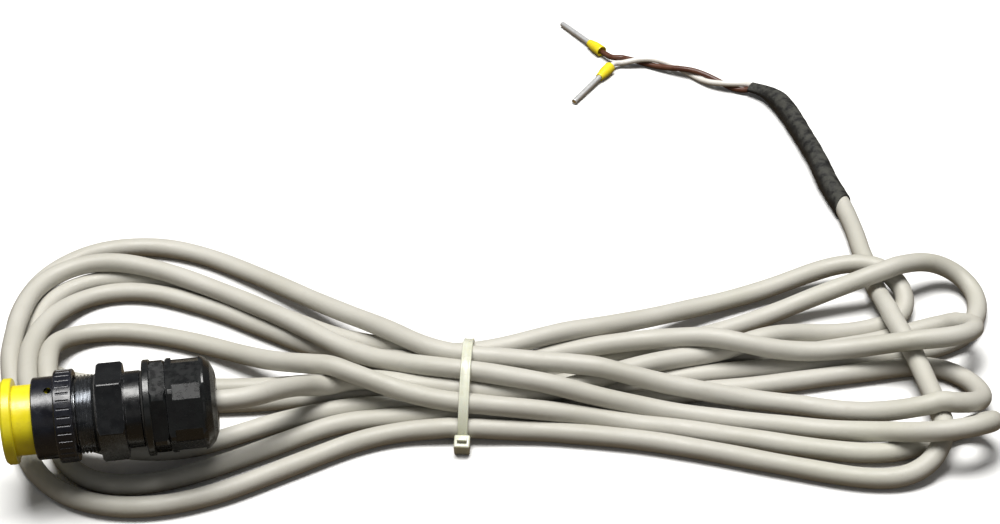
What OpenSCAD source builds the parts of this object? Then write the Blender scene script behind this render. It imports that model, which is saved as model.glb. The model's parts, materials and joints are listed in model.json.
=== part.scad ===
// Sensor connecting lead: a bayonet plug with a dust cap and a cable gland, a two-core screened
// cable folded in a hank and held by a cable tie, and a far end with a sleeve and two ferrules.
// The plug's axis is X. The origin is the centre of the plug's mating face, and the cable leaves
// towards +X. The lead lies on a surface below the plug, at height rest_z.

/* [Plug] */
// Distance from the plug's axis down to the surface that the lead lies on
axis_height = 25.5; // [25:0.5:28]
// Diameter of the front barrel of the coupling ring
barrel_d = 23; // [22.8:0.1:23.4]
// Diameter of the grip of the coupling ring
grip_d = 26; // [25.6:0.1:26.4]
// Number of grip flutes round the coupling ring
flute_count = 36; // [12:4:48]
// Number of contacts in the insert
contact_count = 4; // [2:1:4]
// Diameter of the dust cap's flange
cap_d = 24; // [22:0.5:25]

/* [Gland] */
// Width across the flats of the adapter, the gland body and the dome nut
across_flats = 24; // [23.6:0.1:24.2]
// Diameter of the gland's flange
gland_flange_d = 27; // [26:0.5:27]
// Number of fingers in the clamping claw
claw_fingers = 8; // [6:1:10]

/* [Cable] */
// Diameter of the cable's jacket
cable_d = 6; // [5.6:0.1:6]
// Diameter of one insulated core
core_d = 2.1; // [1.8:0.1:2.1]
// Thickness of the hank where it lies open
lobe_height = 11.5; // [8:0.5:11.5]
// Diameter of the black sleeve
sleeve_d = 7; // [6.6:0.1:7]

/* [Cable tie] */
// Width of the strap
strap_width = 3; // [2.5:0.1:4.8]
// Thickness of the strap
strap_thickness = 1.2; // [1:0.1:1.2]

/* [Ferrules] */
// Length of the metal tube of a ferrule
ferrule_tube_length = 18; // [10:1:20]
// Diameter of the metal tube of a ferrule
ferrule_tube_d = 2.2; // [1.8:0.1:2.4]
// Length of the plastic collar of a ferrule
ferrule_collar_length = 8; // [6:0.5:9]
// Diameter of the plastic collar of a ferrule
ferrule_collar_d = 4.2; // [3.6:0.1:4.6]

/* [Hidden] */
round_fn = 96;

rest_z = -axis_height;
barrel_r = barrel_d / 2;
grip_r = grip_d / 2;
cable_r = cable_d / 2;
core_r = core_d / 2;

// Stations along the plug's axis.
cap_face_x = -8.7;
cap_step_x = -5.4;
cap_skirt_x = 4.5;
grip_front_x = 6.1;
ring_rear_x = 11.3;
thread_front_x = 11.6;
shell_seat_x = 17;
adapter_front_x = 17.6;
adapter_hex_rear_x = 24.9;
adapter_rear_x = 29.7;
gland_front_x = 30.3;
gland_hex_front_x = 32.3;
gland_hex_rear_x = 36.5;
nut_front_x = 36.7;
nut_rear_x = 50.2;
jacket_end_x = 28;
straight_end_x = 57;

// Radii inside the plug.
mouth_r = 10.1;
ring_cavity_r = 11.15;
insert_r = 7.35;
contact_circle_r = 3.6;
contact_r = 1.1;
cup_r = 1.3;
contact_rear_x = 16;
cup_rear_x = 19.5;
sight_hole_d = 2.2;
sight_hole_x = 4.7;

// Angles about the plug's axis, from the front (-Y) upwards.
sight_hole_angle = 82;
adapter_corner_angle = 14;
gland_corner_angle = 52;
nut_corner_angle = 58;
corner_r = across_flats / 2 / cos(30);

// The tie's place on the surface, and the direction that the bundle runs in there.
tie_place = [122, 11];
bundle_angle = -12;
bundle_width = 31;
bundle_height = 21;
bundle_offset = 2.4;
bundle_corner = 8;
waist_length = 24;

// Routes: [x, y, height above the surface], each a list that the cable follows by hand.
lead_route = [[57, 0, 25.5], [62, 2, 24.5], [68, 8, 20.5], [74, 14, 15.5], [80, 20, 9]];
tail_route = [[260, 58, 3], [260, 66, 3], [261, 78, 3], [261, 91, 3.5]];
sleeve_route = [[261, 91, 3.5], [260, 105, 3.5], [260, 120, 3.5], [259, 135, 3.5],
    [258, 148, 3.5], [256, 158, 3.5], [253, 164, 3.2], [249, 168, 2.8]];
wire_route = [[249, 168, 2.8], [243, 170, 2.6], [236, 175, 2.6], [229, 182, 2.6],
    [221, 188, 2.6], [213, 192, 2.6], [206, 193.5, 2.6]];
white_end = [[203, 192, 2.4], [201, 190, 2.3]];
brown_end = [[203, 196, 2.6], [201, 199, 2.4], [200, 201, 2.3]];
white_ferrule_aim = [-0.66, -0.75, -0.04];
brown_ferrule_aim = [-0.42, 0.91, -0.04];

// Outline circles of the two lobes of the hank: [x, y, radius].
left_lobe = [[9, 84, 22], [26, 84, 24], [14, 9, 28], [28, 5, 25], [118, 16, 12]];
right_lobe = [[280, 46, 14], [262, 50, 14], [268, -12, 13], [242, -26, 15], [128, 14, 12]];

// ---- shared shapes ----

// A turned piece on the plug's axis, from [radius, x] points.
module turned(profile) {
    rotate([0, 90, 0]) rotate_extrude($fn = round_fn) polygon(profile);
}

// A plain ring on the plug's axis.
module ring(inner, outer, front, rear) {
    turned([[inner, front], [outer, front], [outer, rear], [inner, rear]]);
}

// Copies a piece round the axis. Angle 0 is the front (-Y), and angles run upwards.
module around(count, start) {
    for (i = [0 : count - 1]) rotate([-(start + i * 360 / count), 0, 0]) children();
}

// A hexagonal prism on the axis, its corners eased by a turned outline.
module hex_prism(front, rear, corner_angle, max_r) {
    ease = 0.6;
    intersection() {
        rotate([-corner_angle, 0, 0]) translate([front, 0, 0]) rotate([0, 90, 0])
            rotate([0, 0, 90]) linear_extrude(rear - front) circle(r = corner_r, $fn = 6);
        turned([[0, front], [max_r - ease, front], [max_r, front + ease],
            [max_r, rear - ease], [max_r - ease, rear], [0, rear]]);
    }
}

// Saw-tooth points of a thread between two stations, for a turned profile.
function thread_points(r, depth, front, pitch, turns) = [
    for (i = [0 : turns - 1]) each [[r - depth, front + i * pitch], [r, front + (i + 0.5) * pitch]]];

function unit(v) = v / norm(v);
function on_surface(p) = [p[0], p[1], p[2] + rest_z];

// A smooth curve through the route's points, steps to a span.
function spline_point(p, q, r, s, t) = 0.5 * (2 * q + (r - p) * t
    + (2 * p - 5 * q + 4 * r - s) * t * t + (3 * q - p - 3 * r + s) * t * t * t);
function smooth(route, steps) = let (last = len(route) - 1) [
    for (i = [0 : last - 1]) for (k = [0 : steps - 1])
        spline_point(route[max(i - 1, 0)], route[i], route[i + 1],
            route[min(i + 2, last)], k / steps),
    route[last]];
function tangent(path, i) = unit(path[min(i + 1, len(path) - 1)] - path[max(i - 1, 0)]);
function side_of(t) = unit(cross(t, [0, 0, 1]));
function ring_points(path, i, r, sides) = let (t = tangent(path, i), a = side_of(t),
    b = cross(a, t)) [for (k = [0 : sides - 1]) path[i]
    + r * (cos(k * 360 / sides) * a + sin(k * 360 / sides) * b)];

// A round tube swept along a path as one polyhedron. radii holds one radius for each point.
module swept(path, radii, sides) {
    rings = len(path);
    points = [for (i = [0 : rings - 1]) each ring_points(path, i, radii[i], sides)];
    walls = [for (i = [0 : rings - 2]) for (k = [0 : sides - 1]) let (n = (k + 1) % sides)
        [i * sides + k, i * sides + n, (i + 1) * sides + n, (i + 1) * sides + k]];
    near_end = [[for (k = [sides - 1 : -1 : 0]) k]];
    far_end = [[for (k = [0 : sides - 1]) (rings - 1) * sides + k]];
    polyhedron(points, concat(walls, near_end, far_end), convexity = 4);
}

module swept_tube(route, r, sides, steps) {
    path = smooth([for (p = route) on_surface(p)], steps);
    swept(path, [for (p = path) r], sides);
}

// ---- plug ----

module dust_cap() {
    pocket_r = 9.05;
    skirt_r = 9.8;
    flange_r = cap_d / 2;
    floor_x = -4.2;
    color("gold") turned([[0, cap_face_x - 0.3], [flange_r - 3, cap_face_x],
        [flange_r - 0.6, cap_face_x + 0.3], [flange_r, cap_face_x + 1],
        [flange_r, cap_step_x - 0.3], [flange_r - 0.3, cap_step_x], [skirt_r, cap_step_x],
        [skirt_r, cap_skirt_x - 0.4], [skirt_r - 0.4, cap_skirt_x], [pocket_r, cap_skirt_x],
        [pocket_r, floor_x], [0, floor_x]]);
}

module coupling_ring() {
    groove_r = 11.7;
    groove_front = 9.8;
    groove_rear = 10.7;
    cavity_front = 6.9;
    flute_r = 0.45;
    ramp_turn = 100;
    ramp_r = 10.8;
    ramp_width = 2.6;
    slot_width = 3.1;
    slot_rear = 5.3;
    color([0.13, 0.14, 0.17]) difference() {
        turned([[mouth_r, 0], [barrel_r - 0.3, 0], [barrel_r, 0.3],
            [barrel_r, grip_front_x], [grip_r - 0.3, grip_front_x],
            [grip_r, grip_front_x + 0.3], [grip_r, ring_rear_x - 0.3],
            [grip_r - 0.3, ring_rear_x], [ring_cavity_r, ring_rear_x],
            [ring_cavity_r, groove_rear], [groove_r, groove_rear], [groove_r, groove_front],
            [ring_cavity_r, groove_front], [ring_cavity_r, cavity_front],
            [mouth_r, cavity_front]]);
        // Sight holes that show the receptacle's pins when the ring is locked.
        around(3, sight_hole_angle) translate([sight_hole_x, 0, 0]) rotate([90, 0, 0])
            cylinder(d = sight_hole_d, h = barrel_r + 2, $fn = 32);
        // Entry slots for the receptacle's pins, and the grooves that lead to the holes.
        around(3, sight_hole_angle - ramp_turn) translate([-1, -ramp_r, -slot_width / 2])
            cube([slot_rear + 1, 3, slot_width]);
        around(3, sight_hole_angle - ramp_turn) rotate([0, 90, 0]) rotate([0, 0, -90])
            rotate_extrude(angle = ramp_turn, $fn = round_fn)
                translate([mouth_r - 0.5, sight_hole_x - ramp_width / 2])
                    square([ramp_r - mouth_r + 0.5, ramp_width]);
        // Grip flutes.
        around(flute_count, 0) translate([grip_front_x + 0.8, -grip_r - 0.2, 0])
            rotate([0, 90, 0]) cylinder(r = flute_r, h = 3.6, $fn = 16);
    }
}

module retaining_ring() {
    gap = 3;
    color("dimgray") difference() {
        ring(10.1, 11.6, 9.95, 10.55);
        translate([9, 0, -gap / 2]) cube([3, 14, gap]);
    }
}

// A thin washer bent into waves along the axis.
module wave_spring() {
    segments = 72;
    waves = 4;
    inner = 10.05;
    outer = 11;
    middle_x = 9.12;
    lift = 0.3;
    thickness = 0.3;
    function wave_x(i) = middle_x + lift * cos(i * waves * 360 / segments);
    function rim(r, x, i) = [x, r * cos(i * 360 / segments), r * sin(i * 360 / segments)];
    points = [for (i = [0 : segments - 1]) each [
        rim(inner, wave_x(i) - thickness / 2, i), rim(outer, wave_x(i) - thickness / 2, i),
        rim(outer, wave_x(i) + thickness / 2, i), rim(inner, wave_x(i) + thickness / 2, i)]];
    faces = [for (i = [0 : segments - 1]) for (k = [0 : 3]) let (n = (k + 1) % 4,
        j = (i + 1) % segments) [i * 4 + k, j * 4 + k, j * 4 + n, i * 4 + n]];
    color("lightsteelblue") polyhedron(points, faces, convexity = 6);
}

module interface_seal() {
    color("dimgray") turned([[8.25, 5.4], [9.5, 5.4], [9.8, 5.7], [9.8, 6.3], [9.5, 6.6],
        [8.25, 6.6]]);
}

module plug_shell() {
    bore_r = 7.4;
    nose_r = 8.2;
    key_r = 8.75;
    flange_r = 10.8;
    waist_r = 9.8;
    thread_r = 11;
    thread_depth = 0.55;
    neck_r = 9.5;
    nose_x = 0.6;
    key_angles = [105, 140, 215, 265];
    color([0.2, 0.21, 0.22]) {
        turned(concat([[bore_r, nose_x], [nose_r - 0.2, nose_x], [nose_r, nose_x + 0.2],
            [nose_r, 6.6], [9.4, 6.6], [9.4, 7.1], [flange_r, 7.1], [flange_r, 8.3],
            [waist_r, 8.3], [waist_r, thread_front_x]],
            thread_points(thread_r, thread_depth, thread_front_x + 0.2, 1, 5),
            [[thread_r - thread_depth, shell_seat_x], [neck_r, shell_seat_x], [neck_r, 22],
            [bore_r, 22]]));
        shell_key(0, 2.6, bore_r, key_r);
        for (a = key_angles) shell_key(a, 1.4, bore_r, key_r);
    }
}

// One polarising key on the nose of the shell.
module shell_key(angle, width, inner, outer) {
    rotate([-angle, 0, 0]) translate([0.9, -outer, -width / 2])
        cube([4.2, outer - inner - 0.3, width]);
}

module contact_holes(front, rear, r) {
    around(contact_count, 45) translate([front - 1, -contact_circle_r, 0])
        rotate([0, 90, 0]) cylinder(r = r, h = rear - front + 2, $fn = 32);
}

// A disc on the axis with a hole for each contact.
module insert_disc(front, rear, r, hole_r) {
    difference() {
        turned([[0, front], [r - 0.3, front], [r, front + 0.3], [r, rear], [0, rear]]);
        contact_holes(front, rear, hole_r);
    }
}

module front_insulator() {
    color([0.2, 0.35, 0.3]) insert_disc(1.6, 9, insert_r, contact_r + 0.05);
}

module rear_insulator() {
    color([0.2, 0.3, 0.32]) insert_disc(9.1, 14, insert_r, contact_r + 0.05);
}

module grommet() {
    color([0.45, 0.2, 0.15]) insert_disc(14.1, 15.9, insert_r - 0.05, contact_r + 0.05);
}

// Socket contacts with solder cups at the rear.
module contacts() {
    socket_r = 0.5;
    color("goldenrod") around(contact_count, 45) translate([0, -contact_circle_r, 0])
        turned([[socket_r, 2.2], [contact_r - 0.2, 2.2], [contact_r, 2.5],
            [contact_r, contact_rear_x], [cup_r, contact_rear_x], [cup_r, cup_rear_x],
            [0, cup_rear_x], [0, 8], [socket_r, 8]]);
}

module grommet_follower() {
    color("silver") turned([[5.3, 16], [7.3, 16], [7.3, 21.2], [6.9, 21.6], [5.3, 21.6]]);
}

module adapter_seal() {
    color([0.08, 0.08, 0.08]) ring(9.55, 10.9, 17.05, 17.55);
}

module backshell_adapter() {
    sleeve_r = 10.75;
    thread_bore_r = 9.55;
    middle_bore_r = 8.6;
    gland_bore_r = 8.05;
    color([0.16, 0.16, 0.17]) difference() {
        union() {
            hex_prism(adapter_front_x, adapter_hex_rear_x, adapter_corner_angle, 13.75);
            turned([[0, adapter_hex_rear_x - 1], [10.4, adapter_hex_rear_x - 1],
                [10.4, adapter_hex_rear_x + 0.5], [sleeve_r, adapter_hex_rear_x + 0.5],
                [sleeve_r, adapter_rear_x - 0.3], [sleeve_r - 0.3, adapter_rear_x],
                [0, adapter_rear_x]]);
        }
        ring(0, thread_bore_r, adapter_front_x - 1, 22.4);
        ring(0, middle_bore_r, 22, 25.3);
        ring(0, gland_bore_r, 25, adapter_rear_x + 1);
    }
}

// ---- gland ----

module gland_gasket() {
    color([0.08, 0.08, 0.08]) ring(8.1, 10.5, adapter_rear_x + 0.03, gland_front_x - 0.03);
}

module gland_body() {
    flange_r = gland_flange_d / 2;
    thread_r = 10.4;
    stem_r = 8;
    color([0.1, 0.1, 0.11]) difference() {
        union() {
            turned([[0, 25.4], [stem_r - 0.4, 25.4], [stem_r, 25.8], [stem_r, gland_front_x],
                [flange_r - 0.3, gland_front_x], [flange_r, gland_front_x + 0.3],
                [flange_r, gland_hex_front_x - 0.2], [flange_r - 0.2, gland_hex_front_x],
                [0, gland_hex_front_x]]);
            hex_prism(gland_hex_front_x - 0.2, gland_hex_rear_x, gland_corner_angle, 13.4);
            turned(concat([[0, 36], [thread_r - 0.5, 36]],
                thread_points(thread_r, 0.5, gland_hex_rear_x + 0.2, 1.5, 4),
                [[thread_r - 0.5, 43.2], [thread_r - 0.9, 43.6], [0, 43.6]]));
        }
        turned([[0, 25], [4, 25], [4, 33.5], [8.2, 36.9], [8.2, 44], [0, 44]]);
    }
}

module gland_seal() {
    color([0.25, 0.25, 0.25]) turned([[cable_r + 0.05, 37.2], [5.4, 37.2], [6, 37.8],
        [6, 44.8], [5.2, 45.6], [cable_r + 0.05, 45.6]]);
}

// A tube whose rear half is split in fingers.
module gland_claw() {
    slot = 0.9;
    color([0.18, 0.18, 0.18]) difference() {
        turned([[6.1, 37], [8.1, 37], [8.1, 45.4], [7, 46.9], [6.1, 46.9]]);
        around(claw_fingers, 10) translate([40, -9, -slot / 2]) cube([8, 4, slot]);
    }
}

module gland_slip_ring() {
    color("white") ring(3.8, 6.3, 47.1, 47.8);
}

module gland_nut() {
    outer_r = 13.5;
    mouth_wall_r = 3.7;
    recess_r = 12.4;
    recess_width = 4.6;
    color([0.1, 0.1, 0.11]) difference() {
        intersection() {
            turned([[0, nut_front_x], [outer_r - 0.5, nut_front_x],
                [outer_r, nut_front_x + 0.5], [outer_r, 46], [outer_r - 0.7, 47.3],
                [outer_r - 2.3, 48.9], [outer_r - 4.8, 50], [7.6, nut_rear_x],
                [0, nut_rear_x]]);
            union() {
                hex_prism(nut_front_x - 1, 47.2, nut_corner_angle, outer_r + 1);
                turned([[0, 46.6], [12.9, 46.6], [12.9, 51], [0, 51]]);
            }
        }
        turned([[0, nut_front_x - 1], [10.6, nut_front_x - 1], [10.6, 44.6], [8.7, 46.2],
            [6.8, 48.2], [mouth_wall_r, 48.9], [mouth_wall_r, 51], [0, 51]]);
        // Recessed panels at the corners.
        around(6, nut_corner_angle) translate([38.4, -outer_r - 1, -recess_width / 2])
            cube([7.6, outer_r + 1 - recess_r, recess_width]);
    }
}

// ---- cable inside the plug ----

// One core, from its contact's cup to the cut end of the jacket.
module inner_core(contact_angle, side) {
    gap = 0.15;
    cup = [cup_rear_x + gap, -contact_circle_r * cos(contact_angle),
        contact_circle_r * sin(contact_angle)];
    route = [cup, cup + [1.6, 0, 0],
        [25, side * core_r * 1.5, 0.3 * cup[2]], [jacket_end_x - 1, side * core_r * 1.1, 0],
        [jacket_end_x - gap, side * core_r * 1.1, 0]];
    path = smooth(route, 3);
    swept(path, [for (p = path) core_r * 0.9], 8);
}

module white_core() {
    color("whitesmoke") inner_core(45, -1);
}

module brown_core() {
    color("saddlebrown") inner_core(225, 1);
}

module shield_braid() {
    color("silver") ring(cable_r + 0.05, cable_r + 0.35, jacket_end_x + 0.3, 33);
}

module cable_in_gland() {
    color([0.78, 0.76, 0.7]) ring(0, cable_r, jacket_end_x, straight_end_x);
}

// ---- cable, tie and far end ----

module gland_lead() {
    color([0.78, 0.76, 0.7]) swept_tube(lead_route, cable_r, 12, 3);
}

// A lobe of the hank: the outline round its circles, to a thickness, cut square where the waist
// starts. way is -1 for the lobe round the plug, and 1 for the other.
module lobe(circles, way) {
    reach = 200;
    waist_end = way * (waist_length / 2 + 0.02);
    color([0.78, 0.76, 0.7]) intersection() {
        translate([0, 0, rest_z]) linear_extrude(lobe_height)
            hull() for (c = circles) translate([c[0], c[1]]) circle(r = c[2], $fn = 48);
        translate([tie_place[0], tie_place[1], rest_z - 1]) rotate([0, 0, bundle_angle])
            translate([way < 0 ? waist_end - reach : waist_end, -reach / 2, 0])
                cube([reach, reach, lobe_height + 2]);
    }
}

// A rounded oblong across the bundle, centred on the tie, to a length along the bundle.
module across_bundle(length, margin) {
    w = bundle_width + 2 * margin;
    h = bundle_height + 2 * margin;
    r = bundle_corner + margin;
    translate([tie_place[0], tie_place[1], rest_z + strap_thickness + bundle_height / 2])
        rotate([0, 0, bundle_angle]) translate([-length / 2, bundle_offset, 0])
            rotate([90, 0, 90]) linear_extrude(length) {
                square([w - 2 * r, h], center = true);
                square([w, h - 2 * r], center = true);
                for (x = [-1, 1]) for (y = [-1, 1])
                    translate([x * (w / 2 - r), y * (h / 2 - r)]) circle(r = r, $fn = 48);
            }
}

module cable_hank_left() { lobe(left_lobe, -1); }
module cable_hank_right() { lobe(right_lobe, 1); }

// The stretch of the hank that the strap holds together.
module cable_hank_waist() {
    color([0.78, 0.76, 0.7]) across_bundle(waist_length, -0.05);
}

module cable_tail() {
    color([0.78, 0.76, 0.7]) swept_tube(tail_route, cable_r, 12, 2);
}

module tie_strap() {
    color([0.86, 0.87, 0.76]) difference() {
        across_bundle(strap_width, strap_thickness);
        across_bundle(strap_width + 1, 0);
    }
}

// The tie's head sits square on the strap where it turns under the bundle at the front.
module tie_head() {
    head = [4.6, 4.2, 4.6];
    stub = 1.2;
    tilt = 25;
    strap_r = bundle_corner + strap_thickness;
    color([0.86, 0.87, 0.76])
        translate([tie_place[0], tie_place[1], rest_z]) rotate([0, 0, bundle_angle])
            translate([0, bundle_offset - bundle_width / 2 + bundle_corner, strap_r])
                rotate([tilt, 0, 0]) translate([0, -strap_r - head[1] - 0.02, 0]) {
                    translate([-head[0] / 2, 0, -head[2] / 2]) cube(head);
                    translate([-strap_width / 2, (head[1] - strap_thickness) / 2, 0])
                        cube([strap_width, strap_thickness, head[2] / 2 + stub]);
                }
}

module heat_shrink_sleeve() {
    path = smooth([for (p = sleeve_route) on_surface(p)], 3);
    last = len(path) - 1;
    shrink = 1.2;
    color([0.07, 0.07, 0.07]) swept(path, [for (i = [0 : last])
        sleeve_d / 2 - (i > last - 6 ? shrink * (i - last + 6) / 6 : 0)], 12);
}

// The path of one wire of the twisted pair, and then its own end.
function wire_path(side, own_end) = let (
    middle = smooth([for (p = wire_route) on_surface(p)], 3), twist = 32) [
    for (i = [0 : len(middle) - 1]) let (a = side_of(tangent(middle, i)),
        b = cross(a, tangent(middle, i)))
        middle[i] + side * core_r * 1.04 * (cos(i * twist) * a + sin(i * twist) * b),
    for (p = own_end) on_surface(p)];

module white_wire() {
    path = wire_path(1, white_end);
    color("whitesmoke") swept(path, [for (p = path) core_r], 8);
}

module brown_wire() {
    path = wire_path(-1, brown_end);
    color("saddlebrown") swept(path, [for (p = path) core_r], 8);
}

// Places a ferrule's piece with its axis along the aim, starting at the wire's end.
module along_aim(start, aim) {
    a = unit(aim);
    translate(on_surface(start)) rotate([0, acos(a[2]), atan2(a[1], a[0])]) children();
}

module ferrule_tube(start, aim) {
    color("lightgray") along_aim(start, aim)
        translate([0, 0, ferrule_collar_length])
            cylinder(d = ferrule_tube_d, h = ferrule_tube_length, $fn = 48);
}

module ferrule_collar(start, aim) {
    r = ferrule_collar_d / 2;
    color("yellow") along_aim(start, aim) rotate_extrude($fn = 48)
        polygon([[0, 0.05], [r, 0.05], [r, 0.6 * ferrule_collar_length],
            [r * 0.72, ferrule_collar_length], [0, ferrule_collar_length]]);
}

module white_ferrule_tube() { ferrule_tube(white_end[1], white_ferrule_aim); }
module brown_ferrule_tube() { ferrule_tube(brown_end[2], brown_ferrule_aim); }
module white_ferrule_collar() { ferrule_collar(white_end[1], white_ferrule_aim); }
module brown_ferrule_collar() { ferrule_collar(brown_end[2], brown_ferrule_aim); }

dust_cap();
coupling_ring();
retaining_ring();
wave_spring();
interface_seal();
plug_shell();
front_insulator();
contacts();
rear_insulator();
grommet();
grommet_follower();
adapter_seal();
backshell_adapter();
gland_gasket();
gland_body();
gland_seal();
gland_claw();
gland_slip_ring();
gland_nut();
white_core();
brown_core();
shield_braid();
cable_in_gland();
gland_lead();
cable_hank_left();
cable_hank_waist();
cable_hank_right();
cable_tail();
tie_strap();
tie_head();
heat_shrink_sleeve();
white_wire();
brown_wire();
white_ferrule_tube();
brown_ferrule_tube();
white_ferrule_collar();
brown_ferrule_collar();
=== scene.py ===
import json
import math
import bmesh
import bpy
import numpy as np
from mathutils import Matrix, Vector, noise


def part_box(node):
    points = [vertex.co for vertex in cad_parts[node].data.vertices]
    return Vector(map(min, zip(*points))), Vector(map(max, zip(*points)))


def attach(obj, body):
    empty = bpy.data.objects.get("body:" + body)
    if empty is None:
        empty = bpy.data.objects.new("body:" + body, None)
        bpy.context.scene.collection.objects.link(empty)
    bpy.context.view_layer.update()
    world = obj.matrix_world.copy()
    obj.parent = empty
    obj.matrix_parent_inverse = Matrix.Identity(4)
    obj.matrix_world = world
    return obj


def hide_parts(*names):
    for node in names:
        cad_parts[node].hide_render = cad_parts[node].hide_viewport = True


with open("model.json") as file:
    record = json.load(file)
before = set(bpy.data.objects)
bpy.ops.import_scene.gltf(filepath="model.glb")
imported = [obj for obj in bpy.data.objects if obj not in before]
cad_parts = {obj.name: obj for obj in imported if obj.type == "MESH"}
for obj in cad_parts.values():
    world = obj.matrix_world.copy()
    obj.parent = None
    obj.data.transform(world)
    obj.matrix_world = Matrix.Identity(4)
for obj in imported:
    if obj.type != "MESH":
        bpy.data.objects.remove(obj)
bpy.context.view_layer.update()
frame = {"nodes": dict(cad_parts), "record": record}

MM = 0.001
REST_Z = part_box("cable_hank_left")[0][2]   # the surface that the lead lies on

# Diameters in millimetres, as in the part's design.
CABLE_D = 6.0
CORE_D = 2.1
SLEEVE_D = 7.0


# ---------------------------------------------------------------- camera

def aim(obj, target):
    """Turns a camera or lamp at a point, with its top upwards."""
    to = Vector(target) - obj.location
    obj.rotation_euler = to.to_track_quat("-Z", "Y").to_euler()


def add_camera():
    """The camera stands in front of the lead, a little to its left, and looks down at it."""
    target = Vector((0.1432, 0.0828, REST_Z))
    azimuth = math.radians(-8.7)
    elevation = math.radians(38.0)
    distance = 0.65
    level = math.cos(elevation)
    away = Vector((math.sin(azimuth) * level, -math.cos(azimuth) * level, math.sin(elevation)))
    data = bpy.data.cameras.new("camera")
    camera = bpy.data.objects.new("camera", data)
    bpy.context.scene.collection.objects.link(camera)
    camera.location = target + away * distance
    aim(camera, target)
    data.sensor_width = 36.0
    data.lens = 71.6
    data.clip_start = 0.01
    bpy.context.scene.camera = camera


add_camera()


# ---------------------------------------------------------------- curves and tubes

def on_surface(route):
    """Route points, [x, y, height above the surface] in millimetres, as metres in the frame."""
    return np.array(route, float) * MM + np.array([0.0, 0.0, REST_Z])


def smooth(points, steps):
    """A smooth curve through the points, steps to a span."""
    p = np.vstack([points[:1], points, points[-1:]])
    out = []
    for a, b, c, d in zip(p[:-3], p[1:-2], p[2:-1], p[3:]):
        for t in np.arange(steps) / steps:
            out.append(0.5 * (2 * b + (c - a) * t + (2 * a - 5 * b + 4 * c - d) * t * t
                              + (3 * b - a - 3 * c + d) * t ** 3))
    return np.array(out + [p[-1]])


def resample(path, step):
    """The same curve with points a step apart."""
    along = np.r_[0.0, np.cumsum(np.linalg.norm(np.diff(path, axis=0), axis=1))]
    at = np.linspace(0.0, along[-1], int(round(along[-1] / step)) + 1)
    return np.stack([np.interp(at, along, path[:, k]) for k in range(3)], 1)


def length_of(path):
    return float(np.linalg.norm(np.diff(path, axis=0), axis=1).sum())


def tangents(path):
    t = np.gradient(path, axis=0)
    return t / np.linalg.norm(t, axis=1)[:, None]


def frames(path):
    """Two directions across the path at each point, carried along without twist."""
    t = tangents(path)
    side = np.cross(t[0], [0.0, 0.0, 1.0])
    if np.linalg.norm(side) < 1e-6:
        side = np.array([1.0, 0.0, 0.0])
    sides = []
    for i in range(len(path)):
        side = side - t[i] * side.dot(t[i])
        side = side / np.linalg.norm(side)
        sides.append(side)
    sides = np.array(sides)
    return t, sides, np.cross(sides, t)


def mesh_object(name, verts, faces, uvs=None, smooth_faces=True):
    mesh = bpy.data.meshes.new(name)
    mesh.from_pydata([tuple(v) for v in verts], [], faces)
    mesh.validate()
    mesh.polygons.foreach_set("use_smooth", [smooth_faces] * len(mesh.polygons))
    if uvs is not None:
        layer = mesh.uv_layers.new(name="lay")
        values = np.array(uvs, float)[[loop.vertex_index for loop in mesh.loops]]
        layer.data.foreach_set("uv", values.ravel())
    mesh.update()
    obj = bpy.data.objects.new(name, mesh)
    bpy.context.scene.collection.objects.link(obj)
    return obj


def tube(name, path, radius, sides):
    """A closed round tube along a path. The radius is a number or radius(i, angle), in metres."""
    _, a, b = frames(path)
    along = np.r_[0.0, np.cumsum(np.linalg.norm(np.diff(path, axis=0), axis=1))]
    verts, uvs, faces = [], [], []
    for i in range(len(path)):
        for k in range(sides):
            angle = 2 * math.pi * k / sides
            r = radius(i, angle) if callable(radius) else radius
            verts.append(path[i] + r * (math.cos(angle) * a[i] + math.sin(angle) * b[i]))
            uvs.append((k / sides, along[i]))
    for i in range(len(path) - 1):
        for k in range(sides):
            n = (k + 1) % sides
            faces.append((i * sides + k, i * sides + n, (i + 1) * sides + n, (i + 1) * sides + k))
    last = (len(path) - 1) * sides
    faces.append(tuple(range(sides - 1, -1, -1)))
    faces.append(tuple(range(last, last + sides)))
    return mesh_object(name, verts, faces, uvs)


# ---------------------------------------------------------------- the lead's route

# Routes as in the part's design: [x, y, height above the surface].
LEAD_ROUTE = [[57, 0, 25.5], [62, 2, 24.5], [68, 8, 20.5], [74, 14, 15.5], [80, 20, 9]]
TAIL_ROUTE = [[260, 58, 3], [260, 66, 3], [261, 78, 3], [261, 91, 3.5]]
SLEEVE_ROUTE = [[261, 91, 3.5], [260, 105, 3.5], [260, 120, 3.5], [259, 135, 3.5],
                [258, 148, 3.5], [256, 158, 3.5], [253, 164, 3.2], [249, 168, 2.8]]
WIRE_ROUTE = [[249, 168, 2.8], [243, 170, 2.6], [236, 175, 2.6], [229, 182, 2.6],
              [221, 188, 2.6], [213, 192, 2.6], [206, 193.5, 2.6]]
WHITE_END = [[203, 192, 2.4], [201, 190, 2.3]]
BROWN_END = [[203, 196, 2.6], [201, 199, 2.4], [200, 201, 2.3]]
WHITE_FERRULE_AIM = (-0.66, -0.75, -0.04)
BROWN_FERRULE_AIM = (-0.42, 0.91, -0.04)

# The tie's place, the directions along and across the bundle there, and the bundle's width,
# height and middle across, inside a strap of thickness STRAP_T.
TIE = np.array([122.0, 11.0])
BUNDLE_ANGLE = math.radians(-12.0)
ALONG = np.array([math.cos(BUNDLE_ANGLE), math.sin(BUNDLE_ANGLE)])
ACROSS = np.array([-math.sin(BUNDLE_ANGLE), math.cos(BUNDLE_ANGLE)])
STRAP_T = 1.2
BUNDLE_W = 31.0
BUNDLE_H = 21.0
BUNDLE_OFFSET = 2.4


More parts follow.
